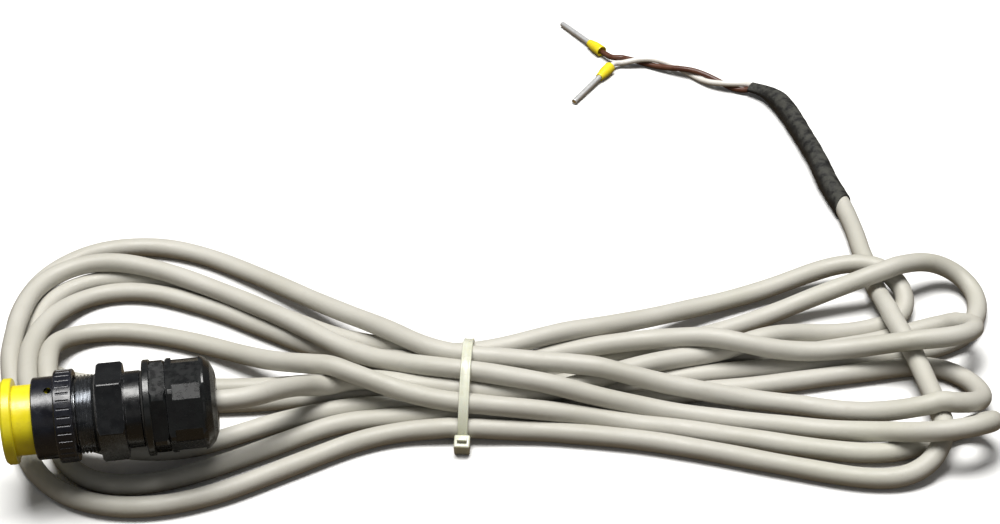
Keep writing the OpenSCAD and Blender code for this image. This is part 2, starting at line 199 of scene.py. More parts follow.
def through_tie(across, height, way):
    """Three points of a strand as it runs through the tie. way is 1 towards +X, and -1 back."""
    out = []
    for s in (-8, 0, 8):
        p = TIE + ALONG * s * way + ACROSS * across
        out.append([p[0], p[1], height])
    return out


def hank_route():
    """The eleven strands of the hank in order, from the gland to the tail. Loops at the left
    pass under the plug, and loops at the right lie round the tail."""
    return (
        # First strand, out of the gland and under the others.
        [[86, 22, 5], [96, 22, 4]] + through_tie(1, 10.2, 1)
        + [[145, 8, 7], [165, 13, 4], [190, 18, 3], [215, 22, 3], [240, 27, 3], [256, 29, 3],
           [263, 32, 3], [266, 38, 3], [265, 45, 6], [261, 50, 9], [254, 54, 9], [244, 55, 8],
           [230, 52, 7], [213, 48, 7],
           [195, 43, 9], [183, 38, 11], [166, 32, 14]]
        # Round the back of the left lobe, and inside it beside the plug.
        + through_tie(14.8, 15.5, -1)
        + [[103, 36, 10], [88, 48, 5], [72, 61, 3], [57, 71, 3], [46, 78, 3], [35, 84, 3],
           [25, 88, 3], [14, 89, 3], [6, 87, 3], [1, 83, 3], [-3, 77, 3], [-5, 69, 3],
           [-6, 60, 3], [-4, 51, 3], [0, 44, 3], [8, 40, 3], [20, 37, 3], [35, 34, 3],
           [50, 31, 3], [62, 29, 3], [80, 27, 3], [100, 24, 5]]
        # The wide loop at the back right, over the tail.
        + through_tie(14.5, 9.3, 1)
        + [[145, 21, 6], [165, 26, 6], [191, 31, 6], [214, 36, 6], [231, 41, 8],
           [246, 43, 11], [257, 43, 13], [266, 45, 12], [277, 49, 8], [285, 50, 5], [289, 47, 3],
           [289, 41, 3], [286, 33, 3], [281, 25, 5], [275, 19, 6], [266, 16, 4],
           [256, 15, 3], [243, 14, 3], [230, 14, 3], [212, 15, 3], [190, 16, 3],
           [165, 14, 3], [145, 10, 3]]
        # Inner front of the left lobe, under the plug, and back round.
        + through_tie(1.9, 4.3, -1)
        + [[106, 13, 3], [89, 16, 3], [77, 15, 3], [66, 13, 3], [54, 10, 4], [43, 6, 5],
           [34, 5, 7], [24, 6, 8], [13, 9, 9], [4, 14, 9], [-2, 21, 9], [-4, 30, 9],
           [-5, 40, 9], [-5, 50, 8], [-3, 59, 7], [0, 68, 6], [5, 76, 5], [11, 81, 4],
           [20, 82, 3], [31, 80, 3], [41, 75, 3], [52, 68, 3], [64, 58, 3], [76, 48, 3],
           [92, 38, 4], [106, 31, 8]]
        # The long strand across the middle right, and its return beneath it.
        + through_tie(8.5, 12.3, 1)
        + [[148, 25, 13], [165, 26, 12], [181, 26, 10], [196, 21, 9], [210, 16, 9],
           [225, 14, 10], [241, 12, 12], [250, 10, 14], [258, 9, 15], [267, 8, 15],
           [274, 8, 15], [279, 12, 13], [280, 18, 9], [275, 23, 6], [266, 24, 3],
           [256, 23, 3], [245, 22, 3], [225, 21, 3], [200, 22, 3],
           [175, 20, 3], [150, 17, 4]]
        # Behind the plug at the left, then the second strand from the back.
        + through_tie(8, 5.5, -1)
        + [[106, 22, 4], [92, 24, 3], [76, 24, 3], [62, 23, 3], [50, 24, 3], [35, 27, 3],
           [22, 30, 3], [9, 33, 3], [-1, 37, 3], [-8, 44, 3], [-10, 54, 3], [-10, 65, 3],
           [-10, 76, 3], [-7, 86, 3], [-2, 94, 3], [5, 100, 3], [13, 104, 3], [24, 105, 3],
           [35, 103, 3], [46, 98, 4], [56, 90, 6], [67, 80, 8], [80, 66, 9], [92, 52, 11],
           [103, 39, 14]]
        # The front loop at the right, with its return behind it.
        + through_tie(9, 18.5, 1)
        + [[137, 18, 15], [147, 15, 13], [161, 11, 11], [176, 7, 7], [190, 5, 4],
           [204, 2, 3], [218, -2, 3], [232, -7, 4], [240, -12, 6], [248, -17, 8],
           [256, -20, 10], [265, -19, 10], [271, -15, 7], [275, -6, 4], [273, 2, 3],
           [268, 7, 3], [258, 9, 3], [242, 9, 3], [223, 8, 3], [207, 7, 3], [185, 6, 3],
           [160, 4, 3], [142, 3, 3]]
        # The inner loop at the front left.
        + through_tie(-4.2, 4.3, -1)
        + [[105, 12, 3], [94, 12, 3], [82, 10, 3], [71, 5, 3], [59, 1, 3], [46, -3, 3],
           [35, -6, 3], [24, -7, 3], [13, -4, 3], [6, 2, 3], [3, 12, 3], [2, 22, 5],
           [1, 31, 8], [0, 39, 9], [-1, 47, 9], [0, 55, 7], [4, 60, 4], [11, 62, 3], [20, 61, 3],
           [30, 59, 3], [40, 55, 5], [50, 49, 7], [62, 39, 9], [73, 29, 10], [84, 21, 10],
           [95, 16, 10], [106, 12, 10]]
        # The low loop at the front right.
        + through_tie(-5, 9.8, 1)
        + [[135, 3, 6], [144, 2, 4], [160, 0, 3], [184, -8, 3], [200, -14, 3],
           [219, -21, 3], [232, -25, 3], [243, -27, 6], [251, -27, 9], [258, -24, 8],
           [264, -20, 4], [268, -19, 4], [270, -23, 7], [269, -28, 11], [264, -31, 14],
           [257, -31, 14], [249, -28, 11], [241, -22, 6], [231, -17, 4], [218, -12, 3],
           [203, -8, 3],
           [190, -3, 3], [176, 1, 4], [160, 4, 6], [145, 7, 9], [136, 10, 11]]
        # Over the others to the back left, then the outermost loop at the front left.
        + through_tie(3, 15.2, -1)
        + [[107, 23, 12], [91, 34, 10], [77, 49, 9], [65, 60, 9], [57, 67, 9], [46, 76, 9],
           [35, 83, 9], [25, 88, 9], [15, 91, 9], [7, 92, 9], [0, 88, 9], [-5, 82, 9],
           [-8, 74, 9], [-9, 65, 8], [-10, 55, 8], [-10, 44, 8], [-9, 34, 8], [-9, 24, 8],
           [-7, 14, 7], [-4, 4, 5], [2, -5, 4], [10, -11, 3], [19, -15, 3], [27, -16, 3],
           [35, -16, 3], [43, -15, 3], [54, -12, 3], [65, -7, 3], [76, -4, 3], [87, 1, 3],
           [99, 4, 3], [108, 3, 3]]
        # The lowest strand at the right, and the tail across the loops.
        + through_tie(-10.5, 4.3, 1)
        + [[140, -1, 3], [160, -7, 3], [180, -14, 3], [200, -23, 3], [217, -30, 3],
           [233, -36, 3], [243, -37, 3], [251, -34, 3], [256, -27, 3], [258, -18, 3],
           [258, -9, 4], [259, -1, 7], [259, 6, 9], [258, 13, 9], [257, 19, 9], [256, 25, 9],
           [257, 31, 8], [258, 37, 6], [259, 43, 4], [260, 50, 3]])


# ---------------------------------------------------------------- how the cable settles

STEP = 3.0         # distance between the cable's points, in millimetres
PLUG_CLEAR = 0.3   # gap left between the cable and the plug
TIGHTEST = 7.5     # radius that the cable's bends are opened towards
CAP_R = 12.0       # the dust cap's radius, at X below 0
RING_R = 13.0      # the coupling ring's and the adapter's
GLAND_R = 13.5     # the gland's, at X above GLAND_X
GLAND_X = 29.0
PLUG_X = (-10.0, 51.0)


def pushed_apart(x, pairs, free):
    """Moves each pair of points that is closer than its least distance apart again."""
    i, j, least = pairs
    d = x[i] - x[j]
    gap = np.sqrt((d * d).sum(1))
    hit = gap < least
    if not hit.any():
        return x
    i, j, least, d, gap = i[hit], j[hit], least[hit], d[hit], np.maximum(gap[hit], 0.05)
    move = d * ((least - gap) * 0.5 / gap)[:, None]
    n = len(x)
    add = np.stack([np.bincount(i, move[:, k], n) - np.bincount(j, move[:, k], n)
                    for k in range(3)], 1)
    count = np.maximum(np.bincount(i, minlength=n) + np.bincount(j, minlength=n), 1)
    return x + free * add / count[:, None] * 1.5


def kept_clear(x, near_gland):
    """Keeps points above the surface, outside the plug and inside the tie."""
    x = x.copy()
    plug_r = np.where(x[:, 0] < 0, CAP_R, np.where(x[:, 0] > GLAND_X, GLAND_R, RING_R))
    r = plug_r + CABLE_D / 2 + PLUG_CLEAR
    dz = x[:, 2] + REST_Z / MM
    far = np.maximum(np.hypot(x[:, 1], dz), 1e-6)
    hit = (x[:, 0] > PLUG_X[0]) & (x[:, 0] < PLUG_X[1]) & (far < r) & ~near_gland
    x[hit, 1] = (x[:, 1] * r / far)[hit]
    x[hit, 2] = (-REST_Z / MM + dz * r / far)[hit]
    s = (x[:, :2] - TIE) @ ALONG
    v = (x[:, :2] - TIE) @ ACROSS
    held = abs(s) < 5
    room = BUNDLE_W / 2 - CABLE_D / 2
    inside = np.clip(v, BUNDLE_OFFSET - room, BUNDLE_OFFSET + room)
    x[held, :2] += (inside - v)[held, None] * ACROSS
    x[held, 2] = np.clip(x[held, 2], STRAP_T + CABLE_D / 2, STRAP_T + BUNDLE_H - CABLE_D / 2)
    x[:, 2] = np.maximum(x[:, 2], CABLE_D / 2)
    return x


def settled(route, start, end):
    """Lays the cable: it keeps near its route, resists bending, sinks, and rests on itself."""
    hold, hold_z, stiff = 1.0, 0.15, 60.0
    n = len(route)
    x = route.copy()
    free = np.ones((n, 1))
    free[:start] = 0
    free[n - end:] = 0
    fixed = free[:, 0] == 0
    bend = np.zeros((n, n))
    second = np.array([1.0, -2.0, 1.0])
    for k in range(1, n - 1):
        bend[k - 1:k + 2, k - 1:k + 2] += np.outer(second, second)
    # Points a few steps apart keep the chord of the tightest bend. Others keep the diameter.
    spans = range(3, 8)
    chord = [2 * TIGHTEST * math.sin(k * STEP / 2 / TIGHTEST) for k in spans]
    near_i = np.concatenate([np.arange(n - k) for k in spans])
    near_j = np.concatenate([np.arange(k, n) for k in spans])
    near_least = np.repeat(chord, [n - k for k in spans])
    iu, ju = np.triu_indices(n, k=8)
    near_gland = np.arange(n) < start + 6
    for weight in (1, 2, 4, 8, 16, 30):
        solve = []
        for h in (hold, hold_z):
            w = np.full(n, h + weight)
            w[fixed] = 1e5
            solve.append(np.linalg.inv(np.diag(w) + stiff * bend))
        for turn in range(24):
            if turn % 6 == 0:
                d = x[iu] - x[ju]
                close = (d * d).sum(1) < (CABLE_D + 4) ** 2
                pairs = (np.r_[near_i, iu[close]], np.r_[near_j, ju[close]],
                         np.r_[near_least, np.full(close.sum(), CABLE_D)])
            p = x.copy()
            p[:, 2] -= 0.5 * free[:, 0] / weight
            for _ in range(3):
                p = kept_clear(pushed_apart(p, pairs, free), near_gland)
                p = np.where(free > 0, p, route)
            pull = np.array([hold, hold, hold_z]) * route + weight * p
            pull[fixed] = route[fixed] * 1e5
            x = np.stack([solve[0] @ pull[:, 0], solve[0] @ pull[:, 1], solve[1] @ pull[:, 2]], 1)
    for _ in range(4):
        x = kept_clear(pushed_apart(x, pairs, free), near_gland)
    return np.where(free > 0, x, route)


def main_cable_path():
    """The whole cable in metres, from its cut end in the gland to its cut end in the sleeve."""
    gland = [[28, 0, 25.5], [36, 0, 25.5], [44, 0, 25.5], [50, 0, 25.5]]
    whole = gland + LEAD_ROUTE + hank_route() + TAIL_ROUTE + SLEEVE_ROUTE[1:5]
    path = resample(smooth(np.array(whole, float), 12), STEP)
    start = int(60 / STEP)
    end = int(length_of(np.array(TAIL_ROUTE + SLEEVE_ROUTE[1:5], float)) / STEP)
    return resample(smooth(settled(path, start, end) * MM + np.array([0, 0, REST_Z]), 3), 2 * MM)


cable_path = main_cable_path()


def jacket_radius(i, angle):
    """The jacket shows the lay of the cores inside it very faintly."""
    lay = 0.045
    return (CABLE_D / 2 + 0.035 * math.cos(2 * (angle - 2 * math.pi * i * 0.002 / lay))) * MM


cable = tube("main_cable", cable_path, jacket_radius, sides=20)


# ---------------------------------------------------------------- wires

def wire_path(side, own_end):
    """One wire of the twisted pair, and then its own end."""
    steps = 6
    middle = smooth(on_surface(WIRE_ROUTE), steps)
    t = tangents(middle)
    a = np.cross(t, [0.0, 0.0, 1.0])
    a /= np.linalg.norm(a, axis=1)[:, None]
    b = np.cross(a, t)
    turn = np.radians(96.0 * np.arange(len(middle)) / steps)[:, None]
    pair = middle + side * CORE_D / 2 * 1.04 * MM * (np.cos(turn) * a + np.sin(turn) * b)
    return np.vstack([pair, on_surface(own_end)])


def wire(name, side, own_end):
    rough = wire_path(side, own_end)
    path = resample(smooth(rough, 3), 0.7 * MM)
    return tube(name, path, CORE_D / 2 * MM, sides=14), path


white_wire, white_path = wire("wire_white", 1, WHITE_END)
brown_wire, brown_path = wire("wire_brown", -1, BROWN_END)


# ---------------------------------------------------------------- sleeve

def wobble(p, scale, seed=0.0):
    """Smooth repeatable noise, about -1 to 1."""
    return noise.noise(Vector((p[0] / scale + seed, p[1] / scale, p[2] / scale)))


def sleeve():
    """A shrunk tube over the cable's end and the wires, wrinkled, cut askew at its lower end and
    squeezed flat where the wires come out."""
    sides = 32
    path = resample(smooth(on_surface(SLEEVE_ROUTE), 8), 0.8 * MM)
    t, a, b = frames(path)
    count = len(path)
    wall = 0.45

    def outer(i, angle):
        u = i / (count - 1)
        r = SLEEVE_D / 2
        tight = min(max((u - 0.80) / 0.2, 0.0), 1.0)
        tight = tight * tight * (3 - 2 * tight)
        flat = 1.0 - 0.42 * tight * abs(math.sin(angle)) - 0.16 * tight
        ridge = 0.10 * math.sin(angle * 2 + u * 9.0) * (1 - tight)
        p = path[i] + (math.cos(angle) * a[i] + math.sin(angle) * b[i]) * 3 * MM
        return (r * flat + ridge + 0.13 * wobble(p, 0.004) + 0.06 * wobble(p, 0.0015, 7.0)) * MM

    def askew(i, angle):
        near = max(0.0, 1.0 - i / 8.0)
        return 2.2 * MM * near * math.cos(angle - 0.6)

    rings = []
    for i in range(count):
        rings.append([path[i] + outer(i, k) * (math.cos(k) * a[i] + math.sin(k) * b[i])
                      + askew(i, k) * t[i] for k in np.arange(sides) * 2 * math.pi / sides])

    def inner_ring(i, r, back):
        return [path[i] + r(k) * MM * (math.cos(k) * a[i] + math.sin(k) * b[i])
                + askew(i, k) * t[i] + back * MM * t[i]
                for k in np.arange(sides) * 2 * math.pi / sides]

    def end_r(k):
        return outer(count - 1, k) / MM - wall

    low = [inner_ring(0, lambda k: 3.25, -0.05), inner_ring(0, lambda k: 3.02, 0.35),
           inner_ring(2, lambda k: 2.9, 0.8)]
    high = [inner_ring(count - 1, lambda k: end_r(k) + 0.1, 0.1),
            inner_ring(count - 1, end_r, -0.3), inner_ring(count - 4, end_r, -0.5)]
    stack = low[::-1] + rings + high
    verts = [(v[0], v[1], max(v[2], REST_Z)) for ring in stack for v in ring]
    faces = []
    for i in range(len(stack) - 1):
        for k in range(sides):
            n = (k + 1) % sides
            faces.append((i * sides + k, i * sides + n, (i + 1) * sides + n, (i + 1) * sides + k))
    last = (len(stack) - 1) * sides
    faces.append(tuple(range(sides - 1, -1, -1)))
    faces.append(tuple(range(last, last + sides)))
    return mesh_object("sleeve", verts, faces)


sleeve_piece = sleeve()


# ---------------------------------------------------------------- ferrules

def lathe(name, profile, sides, start, direction, press=None):
    """A turned piece along a direction, from [along, radius] points in millimetres."""
    axis = Vector(direction).normalized()
    side = axis.cross(Vector((0, 0, 1))).normalized()
    up = side.cross(axis)
    verts, faces = [], []
    for i, (u, r) in enumerate(profile):
        for k in range(sides):
            angle = 2 * math.pi * k / sides
            q = r * (press(u, angle) if press else 1.0)
            verts.append(Vector(start) + axis * u * MM
                         + (side * math.cos(angle) + up * math.sin(angle)) * q * MM)
    for i in range(len(profile) - 1):
        for k in range(sides):
            n = (k + 1) % sides
            faces.append((i * sides + k, (i + 1) * sides + k, (i + 1) * sides + n, i * sides + n))
    last = (len(profile) - 1) * sides
    faces.append(tuple(range(sides)))
    faces.append(tuple(range(last + sides - 1, last - 1, -1)))
    return mesh_object(name, verts, faces)


DENTS_FROM = 9.0   # where the crimped dents of a ferrule's tube start, along it
DENT_PITCH = 0.6
DENT_ROWS = 27


def ferrule(colour, end, direction):
    """A funnel-mouthed plastic collar and the crimped metal tube in front of it."""
    start = on_surface([end])[0]
    collar_profile = [(1.6, 1.08), (0.6, 1.35), (0.15, 1.75), (0.0, 2.0), (0.12, 2.1), (0.6, 2.1),
                      (3.6, 2.06), (4.8, 1.98), (5.6, 1.8), (7.4, 1.55), (7.85, 1.5), (8.0, 1.38),
                      (8.0, 1.12), (7.2, 1.1)]
    collar = lathe(f"{colour}_collar", collar_profile, 32, start, direction)
    tube_profile = [(5.0, 1.0), (8.6, 1.06)]
    tube_profile += [(DENTS_FROM + n * DENT_PITCH, 1.06) for n in range(DENT_ROWS)]
    tube_profile += [(25.6, 1.04), (25.95, 1.0), (26.0, 0.9), (26.0, 0.72), (25.6, 0.7)]

    def crimp(u, angle):
        """Squeezed square, with rows of dents from the crimping jaws."""
        if u < 10.0 or u > 25.2:
            return 1.0
        face = 0.06 * math.cos(4 * angle)
        row = 0.05 * (1 if int(round((u - DENTS_FROM) / DENT_PITCH)) % 2 else -1)
        return 0.95 - face + row

    barrel = lathe(f"{colour}_ferrule", tube_profile, 24, start, direction, crimp)
    strands = lathe(f"{colour}_strands", [(25.4, 0.0), (25.4, 0.68), (25.8, 0.66), (25.92, 0.4),
                                          (25.95, 0.0)], 16, start, direction)
    return collar, barrel, strands


white_collar, white_barrel, white_strands = ferrule("white", WHITE_END[-1], WHITE_FERRULE_AIM)
brown_collar, brown_barrel, brown_strands = ferrule("brown", BROWN_END[-1], BROWN_FERRULE_AIM)


# ---------------------------------------------------------------- cable tie

def hull_2d(points):
    """The convex outline of points in a plane, in order."""
    pts = sorted(map(tuple, points))

    def half(seq):
        out = []
        for p in seq:
            while len(out) > 1 and ((out[-1][0] - out[-2][0]) * (p[1] - out[-2][1])
                                    - (out[-1][1] - out[-2][1]) * (p[0] - out[-2][0])) <= 0:
                out.pop()
            out.append(p)
        return out[:-1]
    return np.array(half(pts) + half(pts[::-1]))


def tie_outline():
    """The strap's inner outline round the strands, as [across, height] in millimetres."""
    x = (cable_path - np.array([0, 0, REST_Z])) / MM
    s = (x[:, :2] - TIE) @ ALONG
    v = (x[:, :2] - TIE) @ ACROSS
    near = (abs(s) < 2.5) & (x[:, 2] < 30)
    turn = np.arange(32) * 2 * math.pi / 32
    r = CABLE_D / 2 + 0.1
    rims = [(v[i] + r * math.cos(k), x[i, 2] + r * math.sin(k))
            for i in np.where(near)[0] for k in turn]
    outline = hull_2d(rims)
    closed = np.vstack([outline, outline[:1]])
    ring = resample(np.column_stack([closed, np.zeros(len(closed))]), 0.9)[:-1, :2]
    for _ in range(6):
        ring = 0.5 * ring + 0.25 * (np.roll(ring, 1, 0) + np.roll(ring, -1, 0))
    return ring


def tie_place(across, height, along=0.0):
    """A point at the tie, given in millimetres across, above the surface and along."""
    p = TIE + ALONG * along + ACROSS * across
    return np.array([p[0] * MM, p[1] * MM, height * MM + REST_Z])


def strap():
    """The strap: a thin band with eased edges, its outer face a little dished."""
    ring = tie_outline()
    n = len(ring)
    tangent = np.roll(ring, -1, 0) - np.roll(ring, 1, 0)
    tangent /= np.linalg.norm(tangent, axis=1)[:, None]
    out = np.column_stack([tangent[:, 1], -tangent[:, 0]])
    t = 1.05
    half = 1.5
    section = [(-half, 0.0), (-half, t - 0.3), (-half + 0.1, t - 0.08), (-half + 0.35, t),
               (-half + 0.6, t - 0.12), (half - 0.6, t - 0.12), (half - 0.35, t),
               (half - 0.1, t - 0.08), (half, t - 0.3), (half, 0.0), (half - 0.5, 0.0),
               (half - 0.6, 0.14), (-half + 0.6, 0.14), (-half + 0.5, 0.0)]
    verts = []
    for i in range(n):
        for s, d in section:
            tooth = 0.10 if (d == 0.14 and i % 2) else 0.0
            q = ring[i] + out[i] * (d + tooth)
            verts.append(tie_place(q[0], max(q[1], 0.02), s))
    m = len(section)
    faces = [(i * m + k, i * m + (k + 1) % m, ((i + 1) % n) * m + (k + 1) % m,
              ((i + 1) % n) * m + k) for i in range(n) for k in range(m)]
    obj = mesh_object("tie_strap_band", verts, faces)
    return obj, ring, out


tie_band, tie_ring, tie_out = strap()


def bevelled_box(name, corner, size, axes, ease):
    """A box on three axes with its edges eased, made with a bevel and left as plain mesh."""
    bm = bmesh.new()
    bmesh.ops.create_cube(bm, size=1.0)
    for v in bm.verts:
        local = [corner[k] + (v.co[k] + 0.5) * size[k] for k in range(3)]
        v.co = Vector(axes(local))
    bmesh.ops.recalc_face_normals(bm, faces=bm.faces[:])
    bm.normal_update()
    bmesh.ops.bevel(bm, geom=bm.edges[:], offset=ease * MM, segments=3, affect="EDGES",
                    profile=0.6)
    mesh = bpy.data.meshes.new(name)
    bm.normal_update()
    bm.to_mesh(mesh)
    bm.free()
    mesh.polygons.foreach_set("use_smooth", [True] * len(mesh.polygons))
    obj = bpy.data.objects.new(name, mesh)
    bpy.context.scene.collection.objects.link(obj)
    return obj


def tie_head():
    """The head on the strap's lower front corner, with the cut-off end of the strap."""
    tilt = math.radians(14.0)
    look = np.array([-math.cos(tilt), -math.sin(tilt)])
    i = int(np.argmax(tie_out @ look + 0.02 * (tie_ring @ look)))
    base = tie_ring[i] + tie_out[i] * 1.05
    o = tie_out[i]
    up = np.array([-o[1], o[0]])
    if up[1] < 0:
        up = -up
    # The head is slid up the strap until its lowest corner is just off the surface.
    low = min(base[1] + o[1] * out + up[1] * side for out in (-0.05, 4.15) for side in (-2.3, 2.3))
    base = base + up * max(0.1 - low, 0.0) / up[1]

    def axes(local):
        q = base + o * local[1] + up * local[2]
        return tie_place(q[0], q[1], local[0])

    block = bevelled_box("tie_head_block", (-2.3, -0.05, -2.3), (4.6, 4.2, 4.6), axes, 0.55)
    end = bevelled_box("tie_end", (-1.45, 1.6, 2.1), (2.9, 1.0, 1.4), axes, 0.2)
    return block, end


tie_block, tie_end = tie_head()


# ---------------------------------------------------------------- looks

class Look:
    """A small helper that builds one node material. Lengths are in millimetres."""

    def __init__(self, name):
        self.material = bpy.data.materials.new(name)
        self.material.use_nodes = True
        self.tree = self.material.node_tree
        self.tree.nodes.clear()
        self.shader = self.node("ShaderNodeBsdfPrincipled")
        out = self.node("ShaderNodeOutputMaterial")
        self.tree.links.new(self.shader.outputs[0], out.inputs["Surface"])
        self.place = self.node("ShaderNodeTexCoord").outputs["Object"]

    def node(self, kind, inputs=(), **settings):
        made = self.tree.nodes.new(kind)
        for key, value in settings.items():
            setattr(made, key, value)
        for key, value in dict(inputs).items():
            if isinstance(value, bpy.types.NodeSocket):
                self.tree.links.new(value, made.inputs[key])
            else:
                made.inputs[key].default_value = value
        return made

    def set(self, **values):
        for key, value in values.items():
            socket = self.shader.inputs[key.replace("_", " ")]
            if isinstance(value, bpy.types.NodeSocket):
                self.tree.links.new(value, socket)
            else:
                socket.default_value = value

    def stretched(self, x, y, z, vector=None):
        return self.node("ShaderNodeMapping", {"Vector": vector or self.place,
                                               "Scale": (x, y, z)}).outputs[0]

    def between(self, value, low, high, to_low=0.0, to_high=1.0):
        return self.node("ShaderNodeMapRange", {"Value": value, 1: low, 2: high, 3: to_low,
                                                4: to_high}, interpolation_type="SMOOTHSTEP"
                         ).outputs[0]

    def noise(self, size, low=0.35, high=0.65, detail=3.0, vector=None):
        made = self.node("ShaderNodeTexNoise", {"Vector": vector or self.place,
                                                "Scale": 1.0 / (size * MM), "Detail": detail})
        return self.between(made.outputs[0], low, high)

    def mixed(self, amount, a, b):
        return self.node("ShaderNodeMix", {0: amount, 6: a, 7: b}, data_type="RGBA").outputs[2]

    def blended(self, amount, a, b):
        return self.node("ShaderNodeMix", {0: amount, 2: a, 3: b}, data_type="FLOAT").outputs[0]

    def maths(self, kind, a, b=0.0):
        return self.node("ShaderNodeMath", {0: a, 1: b}, operation=kind).outputs[0]

    def bump(self, height, depth, under=None):
        values = {"Height": height, "Distance": depth * MM, "Strength": 1.0}
        if under is not None:
            values["Normal"] = under
        return self.node("ShaderNodeBump", values).outputs[0]

    def edges(self, width):
        """1 on edges sharper than the width, 0 elsewhere."""
        eased = self.node("ShaderNodeBevel", {"Radius": width * MM}, samples=6).outputs[0]
        plain = self.node("ShaderNodeNewGeometry").outputs["Normal"]
        same = self.node("ShaderNodeVectorMath", {0: eased, 1: plain},
                         operation="DOT_PRODUCT").outputs["Value"]
        return self.between(same, 0.985, 0.90)

    def facing_up(self, low, high):
        """1 where the surface faces upwards."""
        normal = self.node("ShaderNodeNewGeometry").outputs["Normal"]
        z = self.node("ShaderNodeSeparateXYZ", {0: normal}).outputs[2]
        return self.between(z, low, high)


def rgb(r, g, b):
    return (r, g, b, 1.0)


def finish_look(name, base, other, blotch, rough, grain, depth, metal=0.0, spec=0.5, coat=0.0,
                coat_rough=0.15, dust=None, wear=None, turned=None, soft=0.0):
    """A plastic, rubber or metal finish. base and other are blended over blotches of that size.
    rough is the range of roughness, grain and depth the size and height of the fine bumps. dust
    is (colour, amount), wear is (colour, edge width), and turned is (pitch, depth) of marks left
    by the lathe round the plug's axis."""
    look = Look(name)
    patches = look.noise(blotch, 0.3, 0.7)
    colour = look.mixed(patches, base, other)
    handled = look.noise(blotch * 0.4, 0.3, 0.7, 5.0)
    roughness = look.between(handled, 0.0, 1.0, rough[0], rough[1])
    normal = look.bump(look.noise(grain, 0.2, 0.8, 2.0), depth)
    if turned:
        lines = look.noise(1.0, 0.3, 0.7, 2.0, look.stretched(1 / turned[0], 0.02, 0.02))
        normal = look.bump(lines, turned[1], normal)
    if dust:
        specks = look.noise(0.5, 0.60, 0.72, 2.0)
        veil = look.noise(6.0, 0.40, 0.70, 4.0)
        settled_dust = look.maths("ADD", look.maths("MULTIPLY", veil, 0.35), specks)
        film = look.maths("MULTIPLY", settled_dust, dust[1])
        colour = look.mixed(film, colour, dust[0])
    if wear:
        rubbed = look.maths("MULTIPLY", look.edges(wear[1]), look.noise(1.2, 0.38, 0.60, 3.0))
        colour = look.mixed(rubbed, colour, wear[0])
        roughness = look.blended(rubbed, roughness, 0.28)
    look.set(Base_Color=colour, Roughness=roughness, Normal=normal, Metallic=metal,
             Specular_IOR_Level=spec, Coat_Weight=coat, Coat_Roughness=coat_rough)
    if soft:
        look.set(Subsurface_Weight=soft, Subsurface_Radius=(1.0, 0.8, 0.5),
                 Subsurface_Scale=0.0015)
    return look.material


def cable_look():
    """Light grey PVC: a soft sheen, faint yellowing, fine extrusion lines and handling marks."""
    look = Look("cable_jacket")
    lay = look.node("ShaderNodeUVMap", uv_map="lay").outputs[0]
    warm = look.noise(38.0, 0.3, 0.7, 3.0)
    colour = look.mixed(warm, rgb(0.465, 0.45, 0.395), rgb(0.53, 0.515, 0.465))
    tint = look.noise(70.0, 0.52, 0.75, 2.0)
    colour = look.mixed(look.maths("MULTIPLY", tint, 0.35), colour, rgb(0.50, 0.50, 0.37))
    smudge = look.noise(3.5, 0.58, 0.80, 5.0)
    colour = look.mixed(look.maths("MULTIPLY", smudge, 0.16), colour, rgb(0.33, 0.30, 0.25))
    specks = look.noise(0.45, 0.70, 0.78, 2.0)
    colour = look.mixed(look.maths("MULTIPLY", specks, 0.35), colour, rgb(0.28, 0.25, 0.20))
    drawn = look.noise(1.0, 0.3, 0.7, 3.0, look.stretched(14.0, 30.0, 1.0, lay))
    grain = look.noise(0.35, 0.2, 0.8, 2.0)
    normal = look.bump(grain, 0.004, look.bump(drawn, 0.012))
    rough = look.between(look.noise(5.0, 0.3, 0.7, 4.0), 0.0, 1.0, 0.36, 0.50)
    look.set(Base_Color=colour, Roughness=rough, Normal=normal, Specular_IOR_Level=0.5)
    look.set(Subsurface_Weight=0.06, Subsurface_Radius=(1.0, 0.85, 0.6), Subsurface_Scale=0.0015)
    return look.material


def sleeve_look():
    """Matt black shrink tube, its upward faces painted lighter in patches as painted light from
    above, with fine wrinkles.
    """
    look = Look("sleeve_black")
    colour = look.mixed(look.noise(5.0), rgb(0.006, 0.006, 0.006), rgb(0.012, 0.012, 0.012))
    # Painted light: upward-facing parts are painted lighter in patches, as if lit from above, and
    # made rougher there.
    painted_lit_top = look.maths("MULTIPLY", look.facing_up(0.15, 0.95), look.noise(2.6, 0.34, 0.66, 5.0))
    colour = look.mixed(look.maths("MULTIPLY", painted_lit_top, 0.55), colour, rgb(0.085, 0.085, 0.072))
    specks = look.noise(0.4, 0.66, 0.74, 2.0)
    colour = look.mixed(look.maths("MULTIPLY", specks, 0.35), colour, rgb(0.20, 0.19, 0.16))
    folds = look.noise(1.6, 0.25, 0.75, 4.0)
    normal = look.bump(look.noise(0.25, 0.2, 0.8, 2.0), 0.015, look.bump(folds, 0.12))
    rough = look.between(painted_lit_top, 0.0, 1.0, 0.52, 0.85)
    look.set(Base_Color=colour, Roughness=rough, Normal=normal, Specular_IOR_Level=0.4)
    return look.material


DUST = rgb(0.30, 0.28, 0.24)
GREY_DUST = rgb(0.10, 0.105, 0.11)
BARE = rgb(0.45, 0.46, 0.48)

